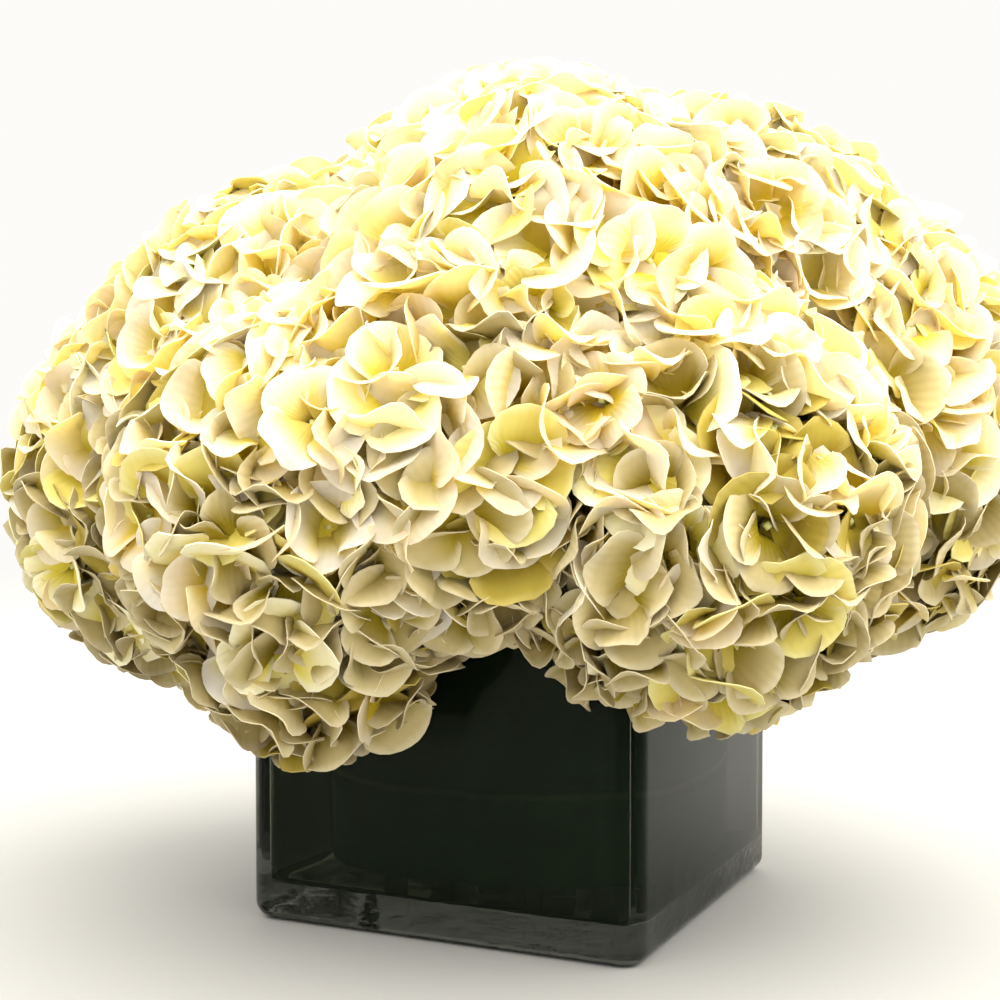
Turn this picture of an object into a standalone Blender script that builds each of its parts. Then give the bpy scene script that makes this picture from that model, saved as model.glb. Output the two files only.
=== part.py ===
"""Cut hydrangea heads packed into a low dome over a square glass vase lined with a rolled leaf.

Metres, +Z up. The origin is the centre of the vase's flat underside, and the vase's front faces -Y.
An azimuth is measured about +Z from the front, positive towards +X.
"""
import math
import random

import bmesh
import bpy
from mathutils import Matrix, Vector

MM = 0.001
GAP = 0.3 * MM                      # clearance where two pieces touch

# The vase: a glass cube, five inches a side
VASE_WIDTH = 127 * MM
VASE_HEIGHT = 127 * MM
VASE_WALL = 5.5 * MM
VASE_FLOOR = 11 * MM
VASE_CORNER = 7 * MM                # radius of the upright outer edges
VASE_FOOT = 5 * MM                  # radius round the underside
RIM_ROUND = 1.5 * MM
CORNER_STEPS = 3                    # faces round each upright edge

# The leaf, rolled up inside the wall with its ends overlapping
LEAF_THICK = 1.6 * MM
LEAF_LOW = 17 * MM
LEAF_HIGH = 119 * MM
LEAF_TURNS = 1.15
LEAF_OVERLAP = 4 * MM               # how far the roll winds inwards from end to end
LEAF_WAVE = 1.5 * MM                # rise and fall of its lower edge
LEAF_START = math.radians(8)
LEAF_STEPS = 40

# The heads. Azimuth in degrees, then distance from the axis, height and radius in mm
HEADS = {
    "front_left": (-14, 92, 127, 59),
    "front_middle": (14, 84, 144, 56),
    "front_right": (55, 91, 127, 62),
    "right": (116, 98, 148, 73),
    "back_right": (177, 94, 142, 66),
    "back_left": (-131, 94, 142, 66),
    "left": (-76, 104, 131, 68),
    "upper_left": (-57, 74, 168, 60),
    "upper_front": (32, 57, 184, 63),
    "upper_right": (98, 64, 192, 58),
    "upper_back_right": (160, 62, 180, 62),
    "upper_back_left": (-111, 64, 181, 63),
    "top": (180, 5, 203, 63),
}
DOME_HEART = Vector((0, 0, 105 * MM))   # the heads face away from here
CORE_SHARE = 0.74                   # radius of a head's dense middle, as a share of the head's
UPPER_CORE_FLOOR = 143 * MM         # the middles of the upper heads are flat below
SPACE_MARGIN = 0.3 * MM             # how far a head keeps from the plane it shares with another
RIM_CLEAR = 1.2 * MM                # how far a head keeps from the glass

# Stems: foot radius, neck distance from the axis and neck height, by tier
TIERS = {
    "lower": (33 * MM, 41 * MM, 136 * MM),
    "upper": (18 * MM, 30 * MM, 130 * MM),
    "top": (0, 3 * MM, 148 * MM),
}
STEM_FOOT = 3.8 * MM
STEM_TIP = 3.2 * MM
STEM_SIDES = 6
BEND_START = 92 * MM                # the stems are upright up to here
BEND_STEPS = 4
TIP_STRAIGHT = 4 * MM               # the last of a stem runs straight into its head's own stalk
NECK_CLEAR = 4 * MM                 # a head's middle stays this far beyond the tip of its stem
PEDUNCLE_SINK = 9 * MM              # how deep a head's own stalk runs into its middle

# Florets: four broad sepals on a three-sided stalk
FLORET_RADIUS = 21 * MM
FLORET_SPACING = 30 * MM
FLORET_RISE = 1.2 * MM              # alternate florets stand this much proud or low
FLORET_TILT = math.radians(16)
FLORET_THICK = 2.2 * MM
SEPAL_SHOULDER = 0.84               # half-way round a sepal's edge, as a share of its length
SEPAL_SHOULDER_ANGLE = math.radians(25)
SEPAL_NOTCH = 0.42
STALK_RADIUS = 1.9 * MM
STALK_SINK = 4 * MM
CANDIDATES = 900                    # places tried for florets on each head
FLORET_TRIES = ((1.0, 0.0), (1.0, 0.5), (0.8, 0.7), (0.65, 0.9))   # size, turn towards the crease
SMALL_FLORET = 0.9                  # below this size a sepal's edge is square, with no point
CREASE_BAND = 15 * MM               # small florets grow only this near a crease
FACING_LIMIT = math.radians(125)    # no florets further round the back of a head than this
SEED = 41


def clear_scene():
    for thing in list(bpy.data.objects):
        bpy.data.objects.remove(thing, do_unlink=True)


def make_material(name, colour, roughness, transmission=0.0):
    material = bpy.data.materials.new(name)
    material.use_nodes = True
    shader = material.node_tree.nodes["Principled BSDF"]
    shader.inputs["Base Color"].default_value = (*colour, 1)
    shader.inputs["Roughness"].default_value = roughness
    shader.inputs["Transmission Weight"].default_value = transmission
    return material


def add_object(name, shape, material):
    """Make a bmesh into a named object in the scene."""
    mesh = bpy.data.meshes.new(name)
    shape.to_mesh(mesh)
    shape.free()
    mesh.materials.append(material)
    thing = bpy.data.objects.new(name, mesh)
    bpy.context.scene.collection.objects.link(thing)
    return thing


def around(azimuth, distance, height):
    return Vector((distance * math.sin(azimuth), -distance * math.cos(azimuth), height))


# The vase and its leaf

def rounded_square(shape, half, corner, height):
    """A ring of vertices round a square with rounded corners."""
    ring = []
    inner = half - corner
    for quarter, (side_x, side_y) in enumerate(((1, -1), (1, 1), (-1, 1), (-1, -1))):
        for step in range(CORNER_STEPS + 1):
            angle = math.radians(90) * (quarter - 1 + step / CORNER_STEPS)
            x = side_x * inner + corner * math.cos(angle)
            y = side_y * inner + corner * math.sin(angle)
            ring.append(shape.verts.new((x, y, height)))
    return ring


def bridge(shape, lower, upper):
    for here in range(len(lower)):
        after = (here + 1) % len(lower)
        shape.faces.new((lower[here], lower[after], upper[after], upper[here]))


def make_vase(material):
    half = VASE_WIDTH / 2
    inner = half - VASE_WALL
    inner_corner = VASE_CORNER - VASE_WALL / 2
    slope = math.radians(45)
    foot_in = VASE_FOOT * (1 - math.sin(slope))
    sections = [
        (half - VASE_FOOT, VASE_CORNER - VASE_FOOT / 2, 0),
        (half - foot_in, VASE_CORNER - foot_in / 2, foot_in),
        (half, VASE_CORNER, VASE_FOOT),
        (half, VASE_CORNER, VASE_HEIGHT - RIM_ROUND),
        (half - RIM_ROUND, VASE_CORNER - RIM_ROUND / 2, VASE_HEIGHT),
        (inner + RIM_ROUND, inner_corner + RIM_ROUND / 2, VASE_HEIGHT),
        (inner, inner_corner, VASE_HEIGHT - RIM_ROUND),
        (inner, inner_corner, VASE_FLOOR),
    ]
    shape = bmesh.new()
    rings = [rounded_square(shape, *section) for section in sections]
    for lower, upper in zip(rings, rings[1:]):
        bridge(shape, lower, upper)
    shape.faces.new(reversed(rings[0]))
    shape.faces.new(rings[-1])
    return add_object("vase", shape, material)


def make_leaf(material):
    """A scroll of one broad leaf: four long edges wound round the axis, closed at both ends."""
    start_radius = VASE_WIDTH / 2 - VASE_WALL - GAP
    shape = bmesh.new()
    rings = []
    for step in range(LEAF_STEPS + 1):
        share = step / LEAF_STEPS
        angle = LEAF_START + share * LEAF_TURNS * math.tau
        outer = start_radius - share * LEAF_OVERLAP
        low = LEAF_LOW + LEAF_WAVE * math.sin(3 * angle) * math.sin(share * math.pi)
        corners = (
            around(angle, outer, low),
            around(angle, outer, LEAF_HIGH),
            around(angle, outer - LEAF_THICK, LEAF_HIGH),
            around(angle, outer - LEAF_THICK, low),
        )
        rings.append([shape.verts.new(corner) for corner in corners])
    for here, after in zip(rings, rings[1:]):
        bridge(shape, after, here)
    shape.faces.new(rings[0])
    shape.faces.new(reversed(rings[-1]))
    return add_object("leaf_roll", shape, material)


# Stems

def tube(points, radii, sides):
    """A tapering limb with flat ends along a run of points, carried along without twist."""
    shape = bmesh.new()
    rings = []
    heading = Vector((0, 0, 1))
    turn = Matrix.Identity(3)
    for place, point in enumerate(points):
        before = points[max(place - 1, 0)]
        after = points[min(place + 1, len(points) - 1)]
        ahead = (after - before).normalized()
        turn = heading.rotation_difference(ahead).to_matrix() @ turn
        heading = ahead
        ring = []
        for side in range(sides):
            angle = math.tau * side / sides
            spoke = Vector((math.cos(angle), math.sin(angle), 0)) * radii[place]
            ring.append(shape.verts.new(point + turn @ spoke))
        rings.append(ring)
    for lower, upper in zip(rings, rings[1:]):
        bridge(shape, lower, upper)
    shape.faces.new(reversed(rings[0]))
    shape.faces.new(rings[-1])
    return shape


def tier_of(name):
    if name == "top":
        return "top"
    return "upper" if name.startswith("upper") else "lower"


def head_centre(name):
    azimuth, distance, height, _ = HEADS[name]
    return around(math.radians(azimuth), distance * MM, height * MM)


def head_radius(name):
    return HEADS[name][3] * MM


def neck_point(name):
    """Where a head's own stalk starts, just past the tip of its stem."""
    _, neck_out, neck_high = TIERS[tier_of(name)]
    return around(math.radians(HEADS[name][0]), neck_out, neck_high)


def stem_points(name):
    """A stem's middle line: upright in the vase, then bending over towards its head."""
    foot_out = TIERS[tier_of(name)][0]
    azimuth = math.radians(HEADS[name][0])
    foot = around(azimuth, foot_out, VASE_FLOOR + GAP)
    bend = around(azimuth, foot_out, BEND_START)
    neck = neck_point(name)
    heading = (head_centre(name) - neck).normalized()
    tip = neck - heading * GAP
    over = tip - heading * TIP_STRAIGHT
    pull = over - heading * (over - bend).length * 0.25
    points = [foot]
    for step in range(BEND_STEPS + 1):
        t = step / BEND_STEPS
        points.append(bend * (1 - t) ** 2 + pull * 2 * t * (1 - t) + over * t ** 2)
    points.append(tip)
    return points


def make_stem(name, material):
    points = stem_points(name)
    radii = []
    for point in points:
        share = (point.z - points[0].z) / (points[-1].z - points[0].z)
        radii.append(STEM_FOOT + (STEM_TIP - STEM_FOOT) * share)
    return add_object("stem_" + name, tube(points, radii, STEM_SIDES), material)


# Heads

def shared_planes(name):
    """The planes between a head and its neighbours, as a point on each and its inward normal."""
    centre = head_centre(name)
    radius = head_radius(name)
    planes = []
    for other in HEADS:
        apart = head_centre(other) - centre
        if other == name or apart.length > radius + head_radius(other):
            continue
        share = (apart.length_squared + radius ** 2 - head_radius(other) ** 2) / (2 * apart.length)
        towards = apart.normalized()
        planes.append((centre + towards * (share - SPACE_MARGIN), -towards))
    return planes


def in_vase_space(point):
    reach = VASE_WIDTH / 2 + RIM_CLEAR
    return abs(point.x) < reach and abs(point.y) < reach and point.z < VASE_HEIGHT + RIM_CLEAR


def limb_line(name):
    """The middle line of a head's stem and stalk together."""
    return stem_points(name)[1:] + [stalk_end(name)]


def near_limb(point, lines):
    """Is a point against a stem or another head's stalk?"""
    for line in lines:
        for start, end in zip(line, line[1:]):
            along = end - start
            share = max(0, min(1, (point - start).dot(along) / along.length_squared))
            if (point - start - along * share).length < STEM_FOOT + RIM_CLEAR:
                return True
    return False


def stalk_end(name):
    neck = neck_point(name)
    reach = head_centre(name) - neck
    depth = max(reach.length - head_radius(name) * CORE_SHARE, 0) + PEDUNCLE_SINK
    return neck + reach.normalized() * depth


def make_core(name, material):
    """A head's dense middle: a faceted ball, cut flat where it meets its neighbours' space."""
    shape = bmesh.new()
    bmesh.ops.create_icosphere(shape, subdivisions=2, radius=head_radius(name) * CORE_SHARE)
    bmesh.ops.translate(shape, verts=shape.verts, vec=head_centre(name))
    neck = neck_point(name)
    heading = (head_centre(name) - neck).normalized()
    planes = shared_planes(name) + [(neck + heading * NECK_CLEAR, heading)]
    if tier_of(name) != "lower":
        planes.append((Vector((0, 0, UPPER_CORE_FLOOR)), Vector((0, 0, 1))))
    for point, inward in planes:
        everything = shape.verts[:] + shape.edges[:] + shape.faces[:]
        cut = bmesh.ops.bisect_plane(shape, geom=everything, dist=1e-6, plane_co=point,
                                     plane_no=-inward, clear_outer=True)
        rim = [piece for piece in cut["geom_cut"] if isinstance(piece, bmesh.types.BMEdge)]
        if rim:
            bmesh.ops.edgenet_fill(shape, edges=rim)
    bmesh.ops.recalc_face_normals(shape, faces=shape.faces)
    return add_object("core", shape, material)


def floret_points(rng, size):
    """The edge of four sepals about the origin, cupped upwards, each lifted a little differently."""
    points = []
    radius = FLORET_RADIUS * size
    for sepal in range(4):
        middle = math.tau * sepal / 4 + rng.uniform(-0.10, 0.10)
        lift = rng.uniform(0.05, 0.30) * radius
        length = radius * rng.uniform(0.90, 1.0)
        shoulder = length * SEPAL_SHOULDER
        edge = [
            (middle - SEPAL_SHOULDER_ANGLE, shoulder, lift * 0.8),
            (middle, length, lift),
            (middle + SEPAL_SHOULDER_ANGLE, shoulder, lift * 0.8),
            (math.tau * (sepal + 0.5) / 4, radius * SEPAL_NOTCH, 0),
        ]
        if size < SMALL_FLORET:
            edge.pop(1)
        for angle, reach, height in edge:
            points.append(Vector((reach * math.cos(angle), reach * math.sin(angle), height)))
    return points


def floret_shape(edge, stalk_length):
    """A floret and its stalk as one closed shape: a fan above, a web below to a three-sided stalk."""
    shape = bmesh.new()
    heart = shape.verts.new((0, 0, 0))
    rim = [shape.verts.new(point) for point in edge]
    rings = []
    for height in (-FLORET_THICK, -stalk_length):
        ring = []
        for side in range(3):
            angle = math.tau * (side + 0.5) / 3
            ring.append(shape.verts.new((STALK_RADIUS * math.cos(angle),
                                         STALK_RADIUS * math.sin(angle), height)))
        rings.append(ring)
    neck, root = rings
    count = len(rim)
    for here in range(count):
        after = (here + 1) % count
        shape.faces.new((heart, rim[here], rim[after]))
        side = here * 3 // count
        next_side = ((here + 1) * 3 // count) % 3
        shape.faces.new((rim[after], rim[here], neck[side]))
        if next_side != side:
            shape.faces.new((rim[after], neck[side], neck[next_side]))
    bridge(shape, root, neck)
    shape.faces.new(reversed(root))
    return shape


def fits(points, planes, lines):
    for point in points:
        if in_vase_space(point) or near_limb(point, lines):
            return False
        for on_plane, inward in planes:
            if (point - on_plane).dot(inward) < 0:
                return False
    return True


def spread_directions():
    """Even directions over a sphere."""
    golden = math.pi * (3 - math.sqrt(5))
    directions = []
    for step in range(CANDIDATES):
        z = 1 - 2 * (step + 0.5) / CANDIDATES
        level = math.sqrt(1 - z * z)
        directions.append(Vector((level * math.cos(golden * step), level * math.sin(golden * step), z)))
    return directions


def floret_poses(direction, name, planes, proud, rng):
    """Ways to set one floret at a place on a head, from a full one to a smaller one facing the crease."""
    lean = Vector([rng.uniform(-1, 1) for _ in range(3)]) * math.tan(FLORET_TILT)
    spin = Matrix.Rotation(rng.uniform(0, math.tau), 3, "Z")
    for size, crease_turn in FLORET_TRIES:
        sunk = FLORET_RADIUS * size * (0.18 + 0.35 * crease_turn)
        heart = head_centre(name) + direction * (head_radius(name) - sunk + proud)
        nearest = min(planes, key=lambda plane: (heart - plane[0]).dot(plane[1]))
        facing = (direction + lean - nearest[1] * crease_turn).normalized()
        turn = facing.to_track_quat("Z", "Y").to_matrix() @ spin
        yield size, heart, turn, floret_points(rng, size)


def place_florets(name, material, group):
    """Florets over the free side of a head, the ones by a crease first, skipped where none fits."""
    rng = random.Random(SEED + list(HEADS).index(name))
    centre = head_centre(name)
    radius = head_radius(name)
    planes = shared_planes(name)
    lines = [limb_line(other) for other in HEADS if other != name] + [stem_points(name)[1:]]
    axis = (centre - DOME_HEART).normalized()
    stalk_length = radius * (1 - CORE_SHARE) + STALK_SINK

    def from_crease(way):
        return min((centre + way * radius - on_plane).dot(inward) for on_plane, inward in planes)

    ways = [way for way in spread_directions() if way.angle(axis) < FACING_LIMIT and from_crease(way) > 0]
    placed = []
    for direction in sorted(ways, key=from_crease):
        spot = centre + direction * radius
        proud = FLORET_RISE * (1 if len(placed) % 2 else -1)
        for size, heart, turn, edge in floret_poses(direction, name, planes, proud, rng):
            if size < SMALL_FLORET and from_crease(direction) > CREASE_BAND:
                break
            if any((spot - other).length < FLORET_SPACING * (size + width) / 2 for other, width in placed):
                continue
            root = turn @ Vector((0, 0, -stalk_length))
            reach = [heart + turn @ point for point in edge] + [heart + root * 0.5, heart + root]
            if not fits(reach, planes, lines):
                continue
            shape = floret_shape(edge, stalk_length)
            place = Matrix.Translation(heart) @ turn.to_4x4()
            bmesh.ops.transform(shape, matrix=place, verts=shape.verts)
            group.objects.link(add_object("floret", shape, material))
            placed.append((spot, size))
            break
    return len(placed)


def keep_largest(shape):
    """Drop sealed hollows and loose scraps left by a union: all but the largest connected body."""
    left = set(shape.verts)
    islands = []
    while left:
        island = {left.pop()}
        edge_of_search = list(island)
        while edge_of_search:
            vertex = edge_of_search.pop()
            for edge in vertex.link_edges:
                other = edge.other_vert(vertex)
                if other in left:
                    left.remove(other)
                    island.add(other)
                    edge_of_search.append(other)
        islands.append(island)
    islands.sort(key=len)
    for island in islands[:-1]:
        bmesh.ops.delete(shape, geom=list(island), context="VERTS")


def make_head(name, material, vase_space):
    """A head: middle, stalk and florets joined by one union of a collection."""
    group = bpy.data.collections.new("pieces")
    bpy.context.scene.collection.children.link(group)
    core = make_core(name, material)
    stalk = tube([neck_point(name), stalk_end(name)], [STEM_TIP, STEM_TIP], STEM_SIDES)
    group.objects.link(add_object("stalk", stalk, material))
    count = place_florets(name, material, group)
    cut = core.modifiers.new("vase_space", "BOOLEAN")
    cut.operation = "DIFFERENCE"
    cut.object = vase_space
    join = core.modifiers.new("join", "BOOLEAN")
    join.operation = "UNION"
    join.operand_type = "COLLECTION"
    join.collection = group
    solved = core.evaluated_get(bpy.context.evaluated_depsgraph_get())
    shape = bmesh.new()
    shape.from_mesh(solved.to_mesh())
    for piece in list(group.objects) + [core]:
        bpy.data.objects.remove(piece, do_unlink=True)
    bpy.data.collections.remove(group)
    keep_largest(shape)
    bmesh.ops.triangulate(shape, faces=shape.faces)
    print(name, count, "florets", len(shape.faces), "triangles")
    return add_object("bloom_" + name, shape, material)


def make_vase_space(material):
    """The block that the heads stay out of, a little larger than the vase."""
    size = VASE_WIDTH + 2 * RIM_CLEAR
    height = VASE_HEIGHT + RIM_CLEAR
    shape = bmesh.new()
    bmesh.ops.create_cube(shape, size=1)
    bmesh.ops.scale(shape, vec=(size, size, 2 * height), verts=shape.verts)
    block = add_object("vase_space", shape, material)
    block.hide_render = True
    block.display_type = "WIRE"
    return block


def main():
    clear_scene()
    glass = make_material("clear_glass", (0.62, 0.66, 0.60), 0.05, 0.9)
    leaf_green = make_material("leaf_green", (0.010, 0.030, 0.010), 0.35)
    stem_green = make_material("stem_green", (0.110, 0.190, 0.045), 0.5)
    petal_cream = make_material("petal_cream", (0.80, 0.72, 0.42), 0.6)
    make_vase(glass)
    make_leaf(leaf_green)
    vase_space = make_vase_space(glass)
    for name in HEADS:
        make_stem(name, stem_green)
        make_head(name, petal_cream, vase_space)
    bpy.data.objects.remove(vase_space, do_unlink=True)


main()
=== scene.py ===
import math
import random

import bmesh
import bpy
import numpy as np
from mathutils import Matrix, Vector, noise


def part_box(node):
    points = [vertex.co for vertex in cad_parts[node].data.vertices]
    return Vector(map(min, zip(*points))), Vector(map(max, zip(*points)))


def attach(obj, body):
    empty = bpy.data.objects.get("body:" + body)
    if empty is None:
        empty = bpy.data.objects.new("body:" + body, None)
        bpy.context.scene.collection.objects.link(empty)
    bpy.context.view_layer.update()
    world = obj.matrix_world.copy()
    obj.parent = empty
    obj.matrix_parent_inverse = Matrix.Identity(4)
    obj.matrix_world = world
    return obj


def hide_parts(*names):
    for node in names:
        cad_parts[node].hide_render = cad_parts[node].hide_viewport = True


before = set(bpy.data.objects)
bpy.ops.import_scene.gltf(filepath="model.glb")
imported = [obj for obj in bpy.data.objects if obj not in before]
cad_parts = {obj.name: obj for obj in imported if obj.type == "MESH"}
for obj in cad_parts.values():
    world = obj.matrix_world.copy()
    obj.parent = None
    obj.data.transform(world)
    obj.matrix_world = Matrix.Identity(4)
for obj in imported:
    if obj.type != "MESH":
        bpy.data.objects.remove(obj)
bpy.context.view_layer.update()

mm = 0.001

# Camera and light come first, so that everything else can be looked at while it is made
studio = {
    "cameraAt": (0.22156, -0.49865, 0.14964),
    "cameraLooksAt": (-0.00644, -0.00296, 0.12650),
    "lens": 61.3,
    "nearest": 10 * mm,        # nothing nearer to the camera shows
    "horizonLight": (0.98, 0.97, 0.95),
    "skyLight": (2.30, 2.27, 2.13),
    "skyStops": (0.30, 0.75),  # the horizon's light up to the first, the sky's from the second
    "floorColour": (0.36, 0.355, 0.345),
    "floorRadius": 1.8,
    "floorFade": (0.35, 1.7),  # the floor thins out into the room between these distances
    "floorDrop": 0.3 * mm,
}
lamps = {
    # place, looks at, size, power, colour
    "keyLamp": ((0.50, -0.06, 1.10), (0, 0, 0.15), 2.20, 42.0, (1.0, 0.985, 0.92)),
    "fillLamp": ((-0.40, -0.85, 1.00), (0, 0, 0.14), 1.2, 5.0, (1.0, 0.98, 0.92)),
    "backLamp": ((-0.45, 0.85, 0.95), (0, 0, 0.16), 0.8, 6.0, (1.0, 0.98, 0.92)),
}


def aimAt(thing, place, target):
    thing.location = place
    thing.rotation_euler = (Vector(target) - Vector(place)).to_track_quat("-Z", "Y").to_euler()


def setUpStudio():
    camera = bpy.data.objects.new("camera", bpy.data.cameras.new("camera"))
    camera.data.lens = studio["lens"]
    camera.data.clip_start = studio["nearest"]
    aimAt(camera, studio["cameraAt"], studio["cameraLooksAt"])
    bpy.context.scene.collection.objects.link(camera)
    bpy.context.scene.camera = camera
    for name, (place, target, size, power, colour) in lamps.items():
        lamp = bpy.data.lights.new(name, "AREA")
        lamp.shape = "DISK"
        lamp.size = size
        lamp.energy = power
        lamp.color = colour
        holder = bpy.data.objects.new(name, lamp)
        aimAt(holder, place, target)
        bpy.context.scene.collection.objects.link(holder)
    # a soft room, brightest overhead
    world = bpy.data.worlds.new("studioWorld")
    world.use_nodes = True
    nodes, links = world.node_tree.nodes, world.node_tree.links
    split = nodes.new("ShaderNodeSeparateXYZ")
    links.new(nodes.new("ShaderNodeTexCoord").outputs["Generated"], split.inputs[0])
    ramp = nodes.new("ShaderNodeValToRGB")
    colours = (studio["horizonLight"], studio["skyLight"])
    for stop, place, colour in zip(ramp.color_ramp.elements, studio["skyStops"], colours):
        stop.position = place
        stop.color = (*colour, 1)
    links.new(split.outputs["Z"], ramp.inputs[0])
    links.new(ramp.outputs[0], nodes["Background"].inputs["Color"])
    bpy.context.scene.world = world
    bpy.context.scene.view_settings.view_transform = "Standard"


# Finishes: a wire is a socket that can be used in sums

class Wire:
    def __init__(self, finish, socket):
        self.finish = finish
        self.socket = socket

    def sum(self, operation, first, second):
        return self.finish.add("ShaderNodeMath", {"operation": operation}, {0: first, 1: second})

    def __add__(self, other):
        return self.sum("ADD", self, other)

    def __radd__(self, other):
        return self.sum("ADD", other, self)

    def __sub__(self, other):
        return self.sum("SUBTRACT", self, other)

    def __rsub__(self, other):
        return self.sum("SUBTRACT", other, self)

    def __mul__(self, other):
        return self.sum("MULTIPLY", self, other)

    def __rmul__(self, other):
        return self.sum("MULTIPLY", other, self)

    def __truediv__(self, other):
        return self.sum("DIVIDE", self, other)

    def __rtruediv__(self, other):
        return self.sum("DIVIDE", other, self)

    def __abs__(self):
        return self.sum("ABSOLUTE", self, 0)


class Finish:
    def __init__(self, name, **plain):
        self.material = bpy.data.materials.new(name)
        self.material.use_nodes = True
        self.tree = self.material.node_tree
        self.shader = self.tree.nodes["Principled BSDF"]
        self.output = self.tree.nodes["Material Output"]
        for socket, value in plain.items():
            self.shader.inputs[socket.replace("_", " ")].default_value = value

    def add(self, kind, settings=None, inputs=None, output=0):
        node = self.tree.nodes.new(kind)
        for setting, value in (settings or {}).items():
            if setting == "stops":
                ramp = node.color_ramp.elements
                while len(ramp) < len(value):
                    ramp.new(0.5)
                for stop, (place, colour) in zip(ramp, value):
                    stop.position = place
                    stop.color = (*colour, 1)
            else:
                setattr(node, setting, value)
        for socket, value in (inputs or {}).items():
            self.join(value, node.inputs[socket])
        return Wire(self, node.outputs[output])

    def join(self, value, socket):
        if isinstance(value, Wire):
            self.tree.links.new(value.socket, socket)
        elif isinstance(value, tuple) and len(value) == 3 and socket.type == "RGBA":
            socket.default_value = (*value, 1)
        else:
            socket.default_value = value

    def set(self, **links):
        for socket, wire in links.items():
            self.join(wire, self.shader.inputs[socket.replace("_", " ")])

    def place(self):
        return self.add("ShaderNodeTexCoord", output="Object")

    def petalMap(self):
        # across and along the surface, from the piece's own map
        split = self.add("ShaderNodeSeparateXYZ", {}, {0: self.add("ShaderNodeTexCoord", output="UV")})
        return split, Wire(self, split.socket.node.outputs[1])

    def blotches(self, scale, detail=2.0, stretch=(1, 1, 1), roughness=0.5):
        spot = self.add("ShaderNodeMapping", {}, {"Vector": self.place(), "Scale": stretch})
        return self.add("ShaderNodeTexNoise", {},
                        {"Vector": spot, "Scale": scale, "Detail": detail, "Roughness": roughness})

    def mixed(self, share, first, second):
        return self.add("ShaderNodeMix", {"data_type": "RGBA"}, {0: share, 6: first, 7: second}, output=2)

    def ramp(self, share, stops):
        return self.add("ShaderNodeValToRGB", {"stops": stops}, {0: share})

    def range(self, value, low, high):
        return self.add("ShaderNodeMapRange", {"interpolation_type": "SMOOTHSTEP"},
                        {0: value, 1: low, 2: high, 3: 0.0, 4: 1.0})

    def bump(self, height, strength, distance):
        return self.add("ShaderNodeBump", {},
                        {"Height": height, "Strength": strength, "Distance": distance})

    def blend(self, kind, share, colour):
        # a share of another plain shader over the main one
        other = self.add(kind, {}, {"Color": colour})
        own = Wire(self, self.shader.outputs[0])
        both = self.add("ShaderNodeMixShader", {}, {0: share, 1: own, 2: other})
        self.tree.links.new(both.socket, self.output.inputs["Surface"])


# Shapes

def makePiece(name, mesh, finishes, slot, *nodes):
    for finish in finishes:
        mesh.materials.append(finish)
    piece = bpy.data.objects.new(name, mesh)
    bpy.context.scene.collection.objects.link(piece)
    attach(piece, "root")
    if nodes:
        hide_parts(*nodes)
    return piece


def toMesh(shape, name, sharp=None):
    mesh = bpy.data.meshes.new(name)
    shape.to_mesh(mesh)
    shape.free()
    mesh.shade_smooth()
    if sharp is not None:
        mesh.set_sharp_from_angle(angle=math.radians(sharp))
    return mesh


def around(azimuth, distance, height):
    return Vector((distance * math.sin(azimuth), -distance * math.cos(azimuth), height))


def limbPoses(points, radii):
    # a frame at each point, carried along the limb without twist
    heading = Vector((0, 0, 1))
    turn = Matrix.Identity(3)
    poses = []
    for index, (point, radius) in enumerate(zip(points, radii)):
        ahead = (points[min(index + 1, len(points) - 1)] - points[max(index - 1, 0)]).normalized()
        turn = heading.rotation_difference(ahead).to_matrix() @ turn
        heading = ahead
        sized = Matrix.Diagonal((radius, radius, radius, 1))
        poses.append(Matrix.Translation(point) @ turn.to_4x4() @ sized)
    return poses


def growLimb(shape, points, radii, sides):
    poses = limbPoses(points, radii)
    start = len(shape.faces)
    ring = bmesh.ops.create_circle(shape, cap_ends=True, segments=sides, radius=1)["verts"]
    bmesh.ops.transform(shape, matrix=poses[0], verts=ring)
    edges = list(dict.fromkeys(edge for vert in ring for edge in vert.link_edges))
    for before, after in zip(poses, poses[1:]):
        grown = bmesh.ops.extrude_edge_only(shape, edges=edges)["geom"]
        ring = [part for part in grown if isinstance(part, bmesh.types.BMVert)]
        fresh = set(ring)
        edges = [part for part in grown
                 if isinstance(part, bmesh.types.BMEdge) and fresh.issuperset(part.verts)]
        bmesh.ops.transform(shape, matrix=after @ before.inverted(), verts=ring)
    bmesh.ops.edgeloop_fill(shape, edges=edges)
    shape.faces.ensure_lookup_table()
    bmesh.ops.recalc_face_normals(shape, faces=shape.faces[start:])


class Pattern:
    # a small mesh kept as arrays, so that many copies can be joined in one go
    def __init__(self, mesh):
        self.spots = np.array([vert.co for vert in mesh.vertices])
        self.corners = np.array([loop.vertex_index for loop in mesh.loops])
        self.starts = np.array([face.loop_start for face in mesh.polygons])
        layer = mesh.uv_layers.active
        self.map = np.array([corner.uv for corner in layer.data]) if layer else None
        bpy.data.meshes.remove(mesh)

    def placed(self, matrix):
        turn = np.array(matrix)
        return self.spots @ turn[:3, :3].T + turn[:3, 3]


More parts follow.
